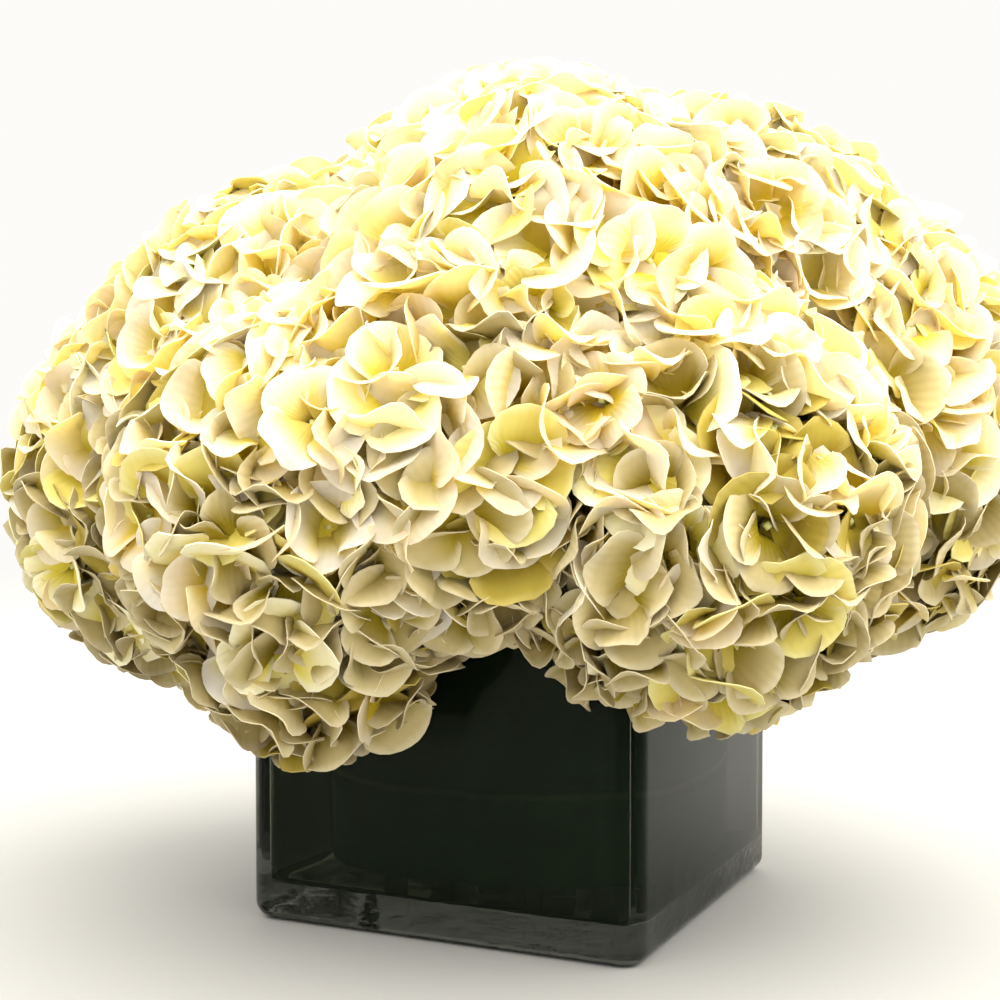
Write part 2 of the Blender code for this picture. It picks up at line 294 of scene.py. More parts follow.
def joinCopies(name, copies, sharp=None):
    # copies are (pattern, matrix, number of the finish) and become one mesh
    spots, corners, starts, zones, maps = [], [], [], [], []
    vertCount = cornerCount = 0
    for pattern, matrix, finish in copies:
        spots.append(pattern.placed(matrix))
        corners.append(pattern.corners + vertCount)
        starts.append(pattern.starts + cornerCount)
        zones.append(np.full(len(pattern.starts), finish))
        if pattern.map is not None:
            maps.append(pattern.map)
        vertCount += len(pattern.spots)
        cornerCount += len(pattern.corners)
    mesh = bpy.data.meshes.new(name)
    mesh.vertices.add(vertCount)
    mesh.loops.add(cornerCount)
    mesh.polygons.add(sum(len(group) for group in starts))
    mesh.vertices.foreach_set("co", np.concatenate(spots).astype(np.float32).ravel())
    mesh.loops.foreach_set("vertex_index", np.concatenate(corners).astype(np.int32))
    mesh.polygons.foreach_set("loop_start", np.concatenate(starts).astype(np.int32))
    mesh.polygons.foreach_set("material_index", np.concatenate(zones).astype(np.int32))
    mesh.update(calc_edges=True)
    if maps:
        layer = mesh.uv_layers.new(name="petalMap")
        layer.data.foreach_set("uv", np.concatenate(maps).astype(np.float32).ravel())
    mesh.validate()
    mesh.shade_smooth()
    if sharp is not None:
        mesh.set_sharp_from_angle(angle=math.radians(sharp))
    return mesh


# Vase and water
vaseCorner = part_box("vase")[1]
vase = {
    "half": vaseCorner.x,
    "height": vaseCorner.z,
    "wall": 5.5 * mm,
    "floor": 11 * mm,
    "corner": 7 * mm,
    "foot": 5 * mm,
    "rim": 1.6 * mm,
    "well": 3.6 * mm,                # rounding inside, round the floor
    "waterTop": 94 * mm,
    "waterOverlap": 0.12 * mm,       # the water reaches this far into the glass
    "baseTop": 12.5 * mm,            # below this the glass is thick and swallows more light; its much darker tint there is also painted shade, as of a dark ground under the vase
    # the tints are partly smoky glass and murky water, partly painted shade that darkens the vase as a
    # dark room around it would
    "glassTint": (0.50, 0.51, 0.42),
    "baseTint": (0.12, 0.125, 0.105),
    "waterTint": (0.70, 0.74, 0.62),
    "shadeFilm": (0.007, 0.011, 0.006),   # painted shade: a near-black diffuse share that darkens the glass
    "shadeFilmShare": (0.40, 0.25),       # over the walls, over the base
    "shine": (0.12, 0.12, 0.12, 1),  # how much the glass mirrors when seen straight on
    "bend": 1.38,                    # refraction
    "ripples": 22,                   # to the metre, as all noise here
    "rippleDepth": 0.35 * mm,
    "smears": 150,
    "folds": 26,
    "foldDepth": 1.6 * mm,
}


def uprightEdges(shape):
    return [edge for edge in shape.edges
            if abs(edge.verts[0].co.z - edge.verts[1].co.z) > 4 * vase["foot"]]


def edgesAt(shape, height):
    return [edge for edge in shape.edges
            if all(abs(vert.co.z - height) < 0.01 * mm for vert in edge.verts)]


def roundEdges(shape, edges, radius, steps):
    bmesh.ops.bevel(shape, geom=edges, offset=radius, segments=steps, profile=0.5,
                    affect="EDGES", material=-1, offset_type="OFFSET", clamp_overlap=True)


def boxShape(half, low, high):
    shape = bmesh.new()
    bmesh.ops.create_cube(shape, size=1)
    bmesh.ops.scale(shape, vec=(2 * half, 2 * half, high - low), verts=shape.verts)
    bmesh.ops.translate(shape, vec=(0, 0, (low + high) / 2), verts=shape.verts)
    return shape


def glassFinishes():
    # the tints darken what the glass shows: partly its own colour, partly painted shade
    glass = Finish("vaseGlass", Base_Color=(*vase["glassTint"], 1), Roughness=0.015,
                   IOR=vase["bend"], Transmission_Weight=1.0, Specular_Tint=vase["shine"])
    ripples = glass.blotches(vase["ripples"], 1.0, (1, 1, 0.35))
    smears = glass.blotches(vase["smears"], 3.0, (1, 1, 0.12))
    glass.set(Normal=glass.bump(ripples, 0.35, vase["rippleDepth"]),
              Roughness=glass.range(smears, 0.50, 0.75) * 0.10 + 0.012)
    base = Finish("glassBase", Base_Color=(*vase["baseTint"], 1), Roughness=0.05,
                  IOR=vase["bend"], Transmission_Weight=1.0, Specular_Tint=vase["shine"])
    folds = base.blotches(vase["folds"], 4.0, (1, 1, 2.5), 0.65)
    base.set(Normal=base.bump(folds, 0.9, vase["foldDepth"]),
             Roughness=base.range(folds, 0.45, 0.65) * 0.16 + 0.03)
    # painted shade: a share of near-black diffuse over each glass
    for finish, share in zip((glass, base), vase["shadeFilmShare"]):
        finish.blend("ShaderNodeBsdfDiffuse", share, vase["shadeFilm"])
    return [glass.material, base.material]


def makeVase():
    shape = boxShape(vase["half"], 0, vase["height"])
    roundEdges(shape, uprightEdges(shape), vase["corner"], steps=8)
    lid = max(shape.faces, key=lambda face: face.calc_center_median().z)
    bmesh.ops.inset_region(shape, faces=[lid], thickness=vase["wall"], use_even_offset=True)
    well = bmesh.ops.extrude_face_region(shape, geom=[lid])["geom"]
    bmesh.ops.delete(shape, geom=[lid], context="FACES_ONLY")
    deep = [part for part in well if isinstance(part, bmesh.types.BMVert)]
    bmesh.ops.translate(shape, vec=(0, 0, vase["floor"] - vase["height"]), verts=deep)
    roundEdges(shape, edgesAt(shape, 0), vase["foot"], steps=6)
    roundEdges(shape, edgesAt(shape, vase["floor"]), vase["well"], steps=5)
    roundEdges(shape, edgesAt(shape, vase["height"]), vase["rim"], steps=4)
    everything = shape.verts[:] + shape.edges[:] + shape.faces[:]
    bmesh.ops.bisect_plane(shape, geom=everything, plane_co=(0, 0, vase["baseTop"]),
                           plane_no=(0, 0, 1))
    bmesh.ops.recalc_face_normals(shape, faces=shape.faces)
    for face in shape.faces:
        if face.calc_center_median().z < vase["baseTop"]:
            face.material_index = 1
    makePiece("glassVase", toMesh(shape, "glassVase", sharp=40), glassFinishes(),
              "vase_glass", "vase")
    print("vase made")


def makeWater():
    water = Finish("vaseWater", Base_Color=(*vase["waterTint"], 1), Roughness=0.0, IOR=1.33,
                   Transmission_Weight=1.0)
    half = vase["half"] - vase["wall"] + vase["waterOverlap"]
    bottom = vase["floor"] - vase["waterOverlap"]
    shape = boxShape(half, bottom, vase["waterTop"])
    roundEdges(shape, uprightEdges(shape), vase["corner"] - vase["wall"] / 2, steps=6)
    roundEdges(shape, edgesAt(shape, bottom), vase["well"], steps=4)
    bmesh.ops.recalc_face_normals(shape, faces=shape.faces)
    makePiece("water", toMesh(shape, "water", sharp=40), [water.material], "vase_glass")
    print("water made")


# The leaf, rolled up inside the glass
leaf = {
    "thick": 0.55 * mm,
    "low": 17 * mm,
    "high": 119 * mm,
    "turns": 1.15,
    "clear": 0.4 * mm,         # between the glass and the leaf
    "overlap": 4 * mm,         # how far inwards the roll winds
    "start": 8,                # degrees round from the front, where the outer end lies
    "columns": 220,
    "rows": 26,
    "midrib": 43 * mm,
    "ridge": 0.1 * mm,         # the midrib's own thickness, on the inner side
    "ridgeWidth": 1.3 * mm,
    "wave": 1.5 * mm,          # of the lower edge
    "sag": 0.35 * mm,          # shallow hollows round the roll
    "pleats": 46,              # fine lengthwise veins from edge to edge
    "greens": [(0.30, (0.006, 0.095, 0.006)), (0.52, (0.010, 0.180, 0.010)),
               (0.75, (0.022, 0.280, 0.018))],
    "ribColour": (0.30, 0.42, 0.18),
    "mottle": 60,
    "streaks": 14,
    "relief": 0.3 * mm,
}


def leafFinish():
    finish = Finish("rolledLeaf", Roughness=0.32, Specular_IOR_Level=0.12)
    along, across = finish.petalMap()
    pleats = across * (leaf["pleats"] * math.pi)
    veins = abs(finish.add("ShaderNodeMath", {"operation": "SINE"}, {0: pleats}))
    mottle = finish.blotches(leaf["mottle"], 3.0)
    streaks = finish.blotches(leaf["streaks"], 4.0, (0.25, 0.25, 6))
    ribPlace = (leaf["midrib"] - leaf["low"]) / (leaf["high"] - leaf["low"])
    rib = 1 - finish.range(abs(across - ribPlace), 0.004, 0.014)
    green = finish.ramp(mottle * 0.6 + streaks * 0.4, leaf["greens"])
    finish.set(Base_Color=finish.mixed(rib * 0.8, green, leaf["ribColour"]),
               Roughness=0.26 + mottle * 0.2,
               Normal=finish.bump(veins * 0.25 + streaks * 0.3 + rib, 0.3, leaf["relief"]))
    return finish.material


def makeLeaf():
    shape = bmesh.new()
    layer = shape.loops.layers.uv.new("leafMap")
    bmesh.ops.create_grid(shape, x_segments=leaf["columns"], y_segments=leaf["rows"], size=0.5)
    for face in shape.faces:
        for corner in face.loops:
            corner[layer].uv = (corner.vert.co.x + 0.5, corner.vert.co.y + 0.5)
    start = vase["half"] - vase["wall"] - leaf["clear"]
    for vert in shape.verts:
        share = vert.co.x + 0.5
        rise = vert.co.y + 0.5
        angle = math.radians(leaf["start"]) + share * leaf["turns"] * math.tau
        low = leaf["low"] + leaf["wave"] * math.sin(3 * angle) * math.sin(share * math.pi)
        height = low + (leaf["high"] - low) * rise
        sag = leaf["sag"] * (1 + math.sin(9 * angle + 5 * rise))
        ridge = leaf["ridge"] * math.exp(-((height - leaf["midrib"]) / leaf["ridgeWidth"]) ** 2)
        vert.co = around(angle, start - share * leaf["overlap"] - sag - ridge, height)
    shape.normal_update()
    shape.faces.ensure_lookup_table()
    middle = shape.faces[0].calc_center_median()
    if shape.faces[0].normal.dot(Vector((middle.x, middle.y, 0))) < 0:
        bmesh.ops.reverse_faces(shape, faces=shape.faces)
    bmesh.ops.solidify(shape, geom=shape.faces[:], thickness=leaf["thick"])
    makePiece("rolledLeaf", toMesh(shape, "rolledLeaf", sharp=50), [leafFinish()],
              "leaf_green", "leaf_roll")
    print("leaf made")


# The heads: azimuth from the front in degrees, then distance from the axis, height and radius in mm
heads = {
    "front_left": (-14, 92, 127, 59),
    "front_middle": (14, 84, 144, 56),
    "front_right": (55, 91, 127, 62),
    "right": (116, 98, 148, 73),
    "back_right": (177, 94, 142, 66),
    "back_left": (-131, 94, 142, 66),
    "left": (-76, 104, 131, 68),
    "upper_left": (-57, 74, 168, 60),
    "upper_front": (32, 57, 184, 63),
    "upper_right": (98, 64, 192, 58),
    "upper_back_right": (160, 62, 180, 62),
    "upper_back_left": (-111, 64, 181, 63),
    "top": (180, 5, 203, 63),
}
domeHeart = Vector((0, 0, 105 * mm))

# Stems: foot distance, neck distance and neck height, by tier
tiers = {"lower": (33 * mm, 41 * mm, 136 * mm), "upper": (18 * mm, 30 * mm, 130 * mm),
         "top": (0, 3 * mm, 148 * mm)}
stem = {
    "foot": 3.8 * mm,
    "tip": 3.2 * mm,
    "sides": 14,
    "bendStart": 92 * mm,
    "uprightSteps": 26,
    "bendSteps": 14,
    "tipStraight": 4 * mm,
    "pull": 0.25,              # how early the stem turns to its head
    "joint": 34 * mm,          # between the swellings where leaves grew
    "swelling": 0.22,
    "swellSharpness": 9,
    "relief": 0.22 * mm,
    "grain": (700, 90),        # lumps to the metre, across and along
    "clear": 0.3 * mm,
    "greens": [(0.3, (0.055, 0.095, 0.022)), (0.55, (0.115, 0.185, 0.045)),
               (0.75, (0.200, 0.250, 0.085))],
    "speckColour": (0.22, 0.15, 0.07),
    "streaks": 220,
    "patches": 40,
    "specks": 900,
    "barkDepth": 0.3 * mm,
}


def tierOf(name):
    if name == "top":
        return "top"
    return "upper" if name.startswith("upper") else "lower"


def headCentre(name):
    azimuth, distance, height, _ = heads[name]
    return around(math.radians(azimuth), distance * mm, height * mm)


def headRadius(name):
    return heads[name][3] * mm


def neckPoint(name):
    _, neckOut, neckHigh = tiers[tierOf(name)]
    return around(math.radians(heads[name][0]), neckOut, neckHigh)


def stemLine(name):
    footOut = tiers[tierOf(name)][0]
    azimuth = math.radians(heads[name][0])
    foot = around(azimuth, footOut, vase["floor"] + stem["clear"])
    bend = around(azimuth, footOut, stem["bendStart"])
    neck = neckPoint(name)
    heading = (headCentre(name) - neck).normalized()
    tip = neck - heading * stem["clear"]
    over = tip - heading * stem["tipStraight"]
    pull = over - heading * (over - bend).length * stem["pull"]
    points = [foot.lerp(bend, step / stem["uprightSteps"]) for step in range(stem["uprightSteps"])]
    for step in range(stem["bendSteps"] + 1):
        t = step / stem["bendSteps"]
        points.append(bend * (1 - t) ** 2 + pull * 2 * t * (1 - t) + over * t ** 2)
    return points + [tip]


def stemFinish():
    finish = Finish("stemBark", Roughness=0.6)
    streaks = finish.blotches(stem["streaks"], 3.0, (1, 1, 0.08))
    patches = finish.blotches(stem["patches"], 3.0)
    specks = finish.range(finish.blotches(stem["specks"], 1.0, (1, 1, 0.4)), 0.62, 0.70)
    green = finish.ramp(streaks * 0.6 + patches * 0.4, stem["greens"])
    finish.set(Base_Color=finish.mixed(specks * 0.6, green, stem["speckColour"]),
               Roughness=0.5 + patches * 0.25,
               Normal=finish.bump(streaks + specks, 0.5, stem["barkDepth"]))
    return finish.material


def makeStems():
    whole = bmesh.new()
    for index, name in enumerate(heads):
        points = stemLine(name)
        phase = (index * 11 % 17) / 17    # the swellings lie at another height on each stem
        radii = []
        for point in points:
            share = (point.z - points[0].z) / (points[-1].z - points[0].z)
            turn = (point.z / stem["joint"] + phase) % 1 - 0.5
            swell = 1 + stem["swelling"] * math.exp(-(turn * stem["swellSharpness"]) ** 2)
            radii.append((stem["foot"] + (stem["tip"] - stem["foot"]) * share) * swell)
        first = len(whole.verts)
        growLimb(whole, points, radii, stem["sides"])
        whole.verts.ensure_lookup_table()
        whole.normal_update()
        across, along = stem["grain"]
        for vert in whole.verts[first:]:
            spot = Vector((vert.co.x * across, vert.co.y * across, vert.co.z * along + index * 7))
            vert.co += vert.normal * noise.noise(spot) * stem["relief"]
    nodes = ["stem_" + name for name in heads]
    makePiece("stems", toMesh(whole, "stems", sharp=50), [stemFinish()], "stem_green", *nodes)
    print("stems made")


# Florets: four broad sepals round a bead, each sepal a disc pulled into shape
sepal = {
    "count": 4,
    "length": 20.0 * mm,
    "width": 25.0 * mm,
    "thick": 0.35 * mm,
    "heartGap": 1.2 * mm,      # the sepals start this far from the middle
    "pairStep": 0.8 * mm,      # one pair stands on the other
    "sizes": (0.88, 1.06),
    "foot": 0.50,              # width at the foot, as a share of the most
    "footEnd": 0.95,           # and how far up it widens
    "footCurve": 0.8,
    "waves": (2, 3, 3, 4),     # slow waves round the rim
    "wave": (0.08, 0.24),
    "frills": (4, 5, 5),       # quick ones
    "frill": (0.00, 0.06),
    "curl": (0.2, 2.0),        # how the rim rolls back
    "curlFrom": 0.62,
    "bend": (0.5, 1.4),        # how much of its kind's cup a sepal has
    "cupLowest": 0.35,         # where along the sepal
    "cupAlong": 0.7,
    "tip": (-0.08, 0.06),      # from notched to pointed
    "skew": 0.14,
    "twist": 0.35,
    "turn": 0.12,              # out of its place round the bead
    "tilt": 1.5,               # sideways, as a share of its kind's spread
}
openings = {
    # least and most lift of the sepals in degrees, how much they cup, and how unlike they are in degrees
    "flat": (2, 14, 0.25, 10),
    "open": (10, 28, 0.40, 14),
    "cupped": (24, 44, 0.55, 14),
    "ruffled": (22, 44, 0.45, 36),
}
footprint = {"flat": 1.10, "open": 1.0, "cupped": 0.86, "ruffled": 0.88}   # room a floret takes
variantsEach = 5


def sepalShape(rng, steps, cup):
    shape = bmesh.new()
    layer = shape.loops.layers.uv.new("petalMap")
    bmesh.ops.create_grid(shape, x_segments=steps, y_segments=steps, size=1)
    for face in shape.faces:
        for corner in face.loops:
            corner[layer].uv = (corner.vert.co.x / 2 + 0.5, corner.vert.co.y / 2 + 0.5)
    phase = rng.uniform(0, math.tau)
    waves = rng.choice(sepal["waves"])
    wave = rng.uniform(*sepal["wave"])
    frills = rng.choice(sepal["frills"])
    frill = rng.uniform(*sepal["frill"])
    curl = rng.uniform(*sepal["curl"])
    bend = cup * rng.uniform(*sepal["bend"])
    tip = rng.uniform(*sepal["tip"])
    skew = rng.uniform(-sepal["skew"], sepal["skew"])
    twist = rng.uniform(-sepal["twist"], sepal["twist"])
    for vert in shape.verts:
        # the square grid becomes a disc, and the disc a sepal
        gridX, gridY = vert.co.x, vert.co.y
        x = gridX * math.sqrt(1 - gridY * gridY / 2)
        y = gridY * math.sqrt(1 - gridX * gridX / 2)
        reach = math.hypot(x, y)
        angle = math.atan2(x, y)
        widening = min(1, (y + 1) / sepal["footEnd"]) ** sepal["footCurve"]
        narrow = sepal["foot"] + (1 - sepal["foot"]) * widening
        along = (y + 1) / 2 + tip * max(0, y) ** 2 * (1 - abs(x)) ** 2
        side = x * narrow
        ripple = wave * reach ** 3 * math.sin(waves * angle + phase)
        ripple += frill * reach ** 5 * math.sin(frills * angle + phase * 3)
        height = bend * (side ** 2 + sepal["cupAlong"] * (along - sepal["cupLowest"]) ** 2)
        height += ripple - curl * max(0, reach - sepal["curlFrom"]) ** 2 + twist * side * along
        vert.co.x = (side + skew * along ** 2) * sepal["width"] / 2
        vert.co.y = along * sepal["length"] + sepal["heartGap"]
        vert.co.z = height * sepal["length"] / 2
    bmesh.ops.recalc_face_normals(shape, faces=shape.faces)
    shape.faces.ensure_lookup_table()
    if shape.faces[0].normal.z < 0:
        bmesh.ops.reverse_faces(shape, faces=shape.faces)
    bmesh.ops.solidify(shape, geom=shape.faces[:], thickness=sepal["thick"])
    return shape


def floretMesh(seed, opening, steps):
    rng = random.Random(seed)
    least, most, cup, spread = openings[opening]
    whole = bmesh.new()
    lift = rng.uniform(least, most)
    for number in range(sepal["count"]):
        part = sepalShape(rng, steps, cup)
        size = rng.uniform(*sepal["sizes"])
        own = math.radians(lift + rng.uniform(-spread, spread))
        spin = math.tau / sepal["count"] * number + rng.uniform(-sepal["turn"], sepal["turn"])
        tilt = math.radians(rng.uniform(-sepal["tilt"], sepal["tilt"]) * spread)
        raised = Matrix.Translation((0, 0, sepal["pairStep"] * (number % 2)))
        pose = (Matrix.Rotation(spin, 4, "Z") @ raised @ Matrix.Rotation(own, 4, "X")
                @ Matrix.Rotation(tilt, 4, "Y") @ Matrix.Scale(size, 4))
        bmesh.ops.transform(part, matrix=pose, verts=part.verts)
        mesh = bpy.data.meshes.new("sepal")
        part.to_mesh(mesh)
        part.free()
        whole.from_mesh(mesh)
        bpy.data.meshes.remove(mesh)
    mesh = bpy.data.meshes.new("floret")
    whole.to_mesh(mesh)
    whole.free()
    return mesh


tints = {
    # blade, heart (its own greener foot and painted shade), rim (its own paler edge and painted
    # highlight), and the colour of the light that comes through, or None where none does
    "ivory": ((0.89, 0.85, 0.75), (0.76, 0.65, 0.16), (0.94, 0.92, 0.87), (0.93, 0.83, 0.42)),
    "cream": ((0.87, 0.80, 0.60), (0.71, 0.59, 0.07), (0.92, 0.88, 0.77), (0.91, 0.79, 0.26)),
    "lemon": ((0.84, 0.77, 0.46), (0.70, 0.59, 0.06), (0.88, 0.84, 0.62), None),
    "warm": ((0.86, 0.78, 0.60), (0.62, 0.48, 0.03), (0.91, 0.86, 0.75), (0.90, 0.76, 0.24)),
    "young": ((0.68, 0.58, 0.16), (0.50, 0.40, 0.02), (0.74, 0.68, 0.32), None),
    # painted shade: a dark tint for the lower florets, under the dome where light from above falls less
    "dusky": ((0.49, 0.40, 0.19), (0.28, 0.21, 0.01), (0.63, 0.55, 0.36), None),
    # painted shade: a dark olive dealt only to inner florets, so the gaps between outer ones read shaded
    "olive": ((0.38, 0.29, 0.04), (0.28, 0.20, 0.01), (0.50, 0.40, 0.11), None),
}
petalLook = {
    "lightThrough": 0.42,          # the share of light that a petal lets through
    "heartFade": (0.20, 0.82),     # the heart's darker colour, partly the sepal's own and partly painted shade in the floret's hollow, fades out between these, from foot to tip
    "rimFade": (0.62, 1.0),        # the rim's paler colour, partly the sepal's own and partly a painted highlight where edges catch the light, comes in between these, from the middle to the edge
    "rimShare": 0.8,
    "patches": 55,                 # here the heart's colour shows through the blade's
    "patchFade": (0.45, 0.80),
    "patchShare": 0.20,
    "veins": 46,
    "grain": 500,
    "relief": 0.25 * mm,
}


def petalFinish(name, blade, heart, rim, through):
    finish = Finish(name + "Petal", Roughness=0.55, Specular_IOR_Level=0.15)
    across, along = finish.petalMap()
    fromMiddle = finish.add("ShaderNodeMath", {"operation": "MAXIMUM"},
                            {0: abs(across - 0.5) * 2, 1: along * 2 - 1})
    edge = finish.range(fromMiddle, *petalLook["rimFade"])
    low = 1 - finish.range(along, *petalLook["heartFade"])
    patches = finish.range(finish.blotches(petalLook["patches"], 2.0), *petalLook["patchFade"])
    # darker towards the foot: the sepal's own greener heart and painted shade in the floret's hollow
    tone = finish.mixed(low, blade, heart)
    tone = finish.mixed(patches * petalLook["patchShare"], tone, heart)
    # paler towards the edge: the sepal's own paler rim and a painted highlight where edges catch the
    # light
    tone = finish.mixed(edge * petalLook["rimShare"], tone, rim)
    # fine veins spread from the foot
    fan = (across - 0.5) / (along * 0.8 + 0.35) * petalLook["veins"]
    veins = finish.add("ShaderNodeMath", {"operation": "SINE"}, {0: fan})
    grain = finish.blotches(petalLook["grain"], 2.0)
    finish.set(Base_Color=tone, Roughness=0.48 + grain * 0.2,
               Normal=finish.bump(veins * 0.5 + grain * 0.6, 0.30, petalLook["relief"]))
    if through:
        # light that is inside a petal always leaves it
        inside = finish.add("ShaderNodeNewGeometry", output="Backfacing")
        share = petalLook["lightThrough"]
        finish.blend("ShaderNodeBsdfTranslucent", inside * (1 - share) + share, through)
    return finish.material


# How a head is filled: each layer lies at its depth below the head's surface, tries its places
# one by one, and lets a floret pass the plane that two heads share by its slack
layers = (
    {"depth": 4.0 * mm, "spacing": 18.0 * mm, "size": (0.74, 0.94), "steps": 6, "slack": 12.0 * mm,
     "leanMost": 1.0, "openings": ["flat"] + ["open"] * 3 + ["cupped"] * 2 + ["ruffled"] * 3,
     "places": 2200},
    {"depth": 12.5 * mm, "spacing": 19.5 * mm, "size": (0.78, 0.94), "steps": 4, "slack": 5.0 * mm,
     "leanMost": 0.6, "openings": ["flat"] + ["open"] * 2, "places": 1200},
)
growth = {
    "seed": 41,
    "facingLimit": math.radians(125),   # florets face less far than this from their head's own axis
    "clear": 0.8 * mm,           # from the vase and from other heads' limbs
    "proud": (-2.2 * mm, 1.6 * mm),   # how unevenly the florets stand
    "reachProud": 0.8 * mm,      # a sepal's tip stands at most this far beyond its head's radius
    "creaseLift": 6 * mm,        # where two heads meet, the florets close the crease by this much
    "creaseReach": 13 * mm,
    "creaseOpen": 150 * mm,      # lower creases stay as deep as they are
    "creaseFade": 20 * mm,
    "creaseLean": 0.8,           # and lean outwards with it
    "creaseJitter": 9 * mm,      # how strictly the places by a crease come first
    "tries": ((1, 0), (0.95, 0.5), (0.8, 0.8), (0.66, 1.0)),   # size, and turn from the nearest crease
    "turnSink": 3 * mm,          # a floret sinks as it turns away
    "turnLean": 0.6,
    "turnShare": 0.5,
    "droops": {"front_left": 13 * mm},   # how far the lowest florets of a head hang down
    "droopWidth": math.radians(34),
}


def sharedPlanes(name):
    centre, radius = headCentre(name), headRadius(name)
    planes = []
    for other in heads:
        apart = headCentre(other) - centre
        if other == name or apart.length > radius + headRadius(other):
            continue
        share = (apart.length_squared + radius ** 2 - headRadius(other) ** 2) / (2 * apart.length)
        towards = apart.normalized()
        planes.append((centre + towards * share, -towards))
    return planes


def spreadDirections(count):
    golden = math.pi * (3 - math.sqrt(5))
    ways = []
    for step in range(count):
        z = 1 - 2 * (step + 0.5) / count
        level = math.sqrt(1 - z * z)
        ways.append(Vector((level * math.cos(golden * step), level * math.sin(golden * step), z)))
    return ways


def limbSegments(without):
    # every stem and head stalk but one's own, as start and end points
    starts, ends = [], []
    for name in heads:
        if name == without:
            continue
        line = stemLine(name)[::4] + [neckPoint(name), neckPoint(name).lerp(headCentre(name), 0.5)]
        starts += line[:-1]
        ends += line[1:]
    return np.array(starts), np.array(ends)


def clearOfLimbs(spots, limbs):
    starts, ends = limbs
    along = ends - starts
    away = spots[:, None, :] - starts[None]
    share = np.clip((away * along).sum(2) / (along ** 2).sum(1), 0, 1)
    gap = np.linalg.norm(away - share[..., None] * along, axis=2)
    return gap.min() > stem["foot"] + growth["clear"]


def clearOfVase(spots):
    reach = vase["half"] + growth["clear"]
    inside = (np.abs(spots[:, :2]) < reach).all(axis=1) & (spots[:, 2] < vase["height"] + growth["clear"])
    return not inside.any()


def clearOfPlanes(spots, planes, slack):
    return all(((spots - np.array(point)) @ np.array(inward)).min() > -slack for point, inward in planes)


def creaseRise(surface, gap):
    # florets by a crease rise and close it, but not in the low creases
    near = max(0, gap) / growth["creaseReach"]
    above = (surface.z - growth["creaseOpen"]) / growth["creaseFade"]
    return growth["creaseLift"] * math.exp(-near ** 2) * min(1, max(0, above + 1))


def droopOf(name, way):
    fromLowest = way.angle(Vector((0, 0, -1))) / growth["droopWidth"]
    return growth["droops"].get(name, 0) * math.exp(-fromLowest ** 4)


def growHead(name, florets):
    # places for a head's florets, the ones by a crease first
    index = list(heads).index(name)
    centre, radius = headCentre(name), headRadius(name)
    planes = sharedPlanes(name)
    limbs = limbSegments(name)
    axis = (centre - domeHeart).normalized()

    def fromCrease(way):
        return min((centre + way * radius - point).dot(inward) for point, inward in planes)

    def fits(spots, slack):
        # every seventh point is enough against the limbs
        return (clearOfPlanes(spots, planes, slack) and clearOfVase(spots)
                and clearOfLimbs(spots[::7], limbs))

    found = []
    for layerNumber, layer in enumerate(layers):
        rng = random.Random(growth["seed"] + index * 10 + layerNumber)
        shell = radius - layer["depth"]
        ways = [way for way in spreadDirections(layer["places"])
                if way.angle(axis) < growth["facingLimit"] and fromCrease(way) > -layer["slack"]]
        jitter = growth["creaseJitter"]
        placed = []
        for way in sorted(ways, key=lambda way: fromCrease(way) + rng.uniform(0, jitter)):
            rise = creaseRise(centre + way * radius, fromCrease(way))
            droop = droopOf(name, way)
            outward = (centre + way * shell - domeHeart).normalized()
            spot = centre + way * shell + outward * rise - Vector((0, 0, droop))
            lean = Vector([rng.uniform(-1, 1) for _ in range(3)]) * rng.uniform(0, layer["leanMost"])
            size = rng.uniform(*layer["size"])
            spin = Matrix.Rotation(rng.uniform(0, math.tau), 4, "Z")
            kind = rng.choice(layer["openings"])
            variant = rng.randrange(variantsEach)
            proud = rng.uniform(*growth["proud"])
            room = size * footprint[kind]
            if any((spot - other).length < layer["spacing"] * (room + width) / 2
                   for other, width in placed):
                continue
            # it may shrink, and turn from the nearest crease, until it fits
            pattern = florets[kind, variant, layer["steps"]]
            nearest = min(planes, key=lambda plane: (spot - plane[0]).dot(plane[1]))
            lifted = outward * rise / growth["creaseLift"] * growth["creaseLean"]
            for shrink, turnAway in growth["tries"]:
                facing = (way + lifted + lean * (1 - turnAway * growth["turnLean"])
                          - nearest[1] * turnAway * growth["turnShare"]).normalized()
                heart = spot + way * (proud - turnAway * growth["turnSink"])
                pose = (Matrix.Translation(heart) @ facing.to_track_quat("Z", "Y").to_matrix().to_4x4()
                        @ spin @ Matrix.Scale(size * shrink, 4))
                spots = pattern.placed(pose)
                furthest = np.linalg.norm(spots - np.array(centre), axis=1).max()
                beyond = furthest - radius - growth["reachProud"] - rise - droop
                if beyond > 0:
                    heart = heart - way * beyond
                    pose = Matrix.Translation(-way * beyond) @ pose
                    spots = pattern.placed(pose)
                if fits(spots, layer["slack"]):
                    break
            else:
                continue
            placed.append((spot, room * shrink))
            found.append({"pattern": pattern, "pose": pose, "heart": heart, "facing": facing,
                          "layer": layerNumber})
    return found


# Beads and stalks
twig = {
    "bead": 1.7 * mm,
    "beadLobes": 0.12,
    "beadFlat": 0.75,
    "beadRise": 0.9 * mm,
    "steps": 4,
    "slender": 20,             # a twig is grown this many times as long as it is thick, then fitted
    "fork": 0.62,              # where a head's stalk forks, as a share of its way to the middle
    "stalk": 3.2 * mm,
    "ray": 1.5 * mm,
    "rays": 34,
    "rayReach": 0.45,
    "pedicel": 0.75 * mm,
    "pedicelGap": 0.6 * mm,    # a thin stalk ends this far under its floret
    "stalkColours": ((0.30, 0.36, 0.08), (0.52, 0.56, 0.20)),
    "beadColours": ((0.55, 0.56, 0.18), (0.74, 0.72, 0.36)),
}


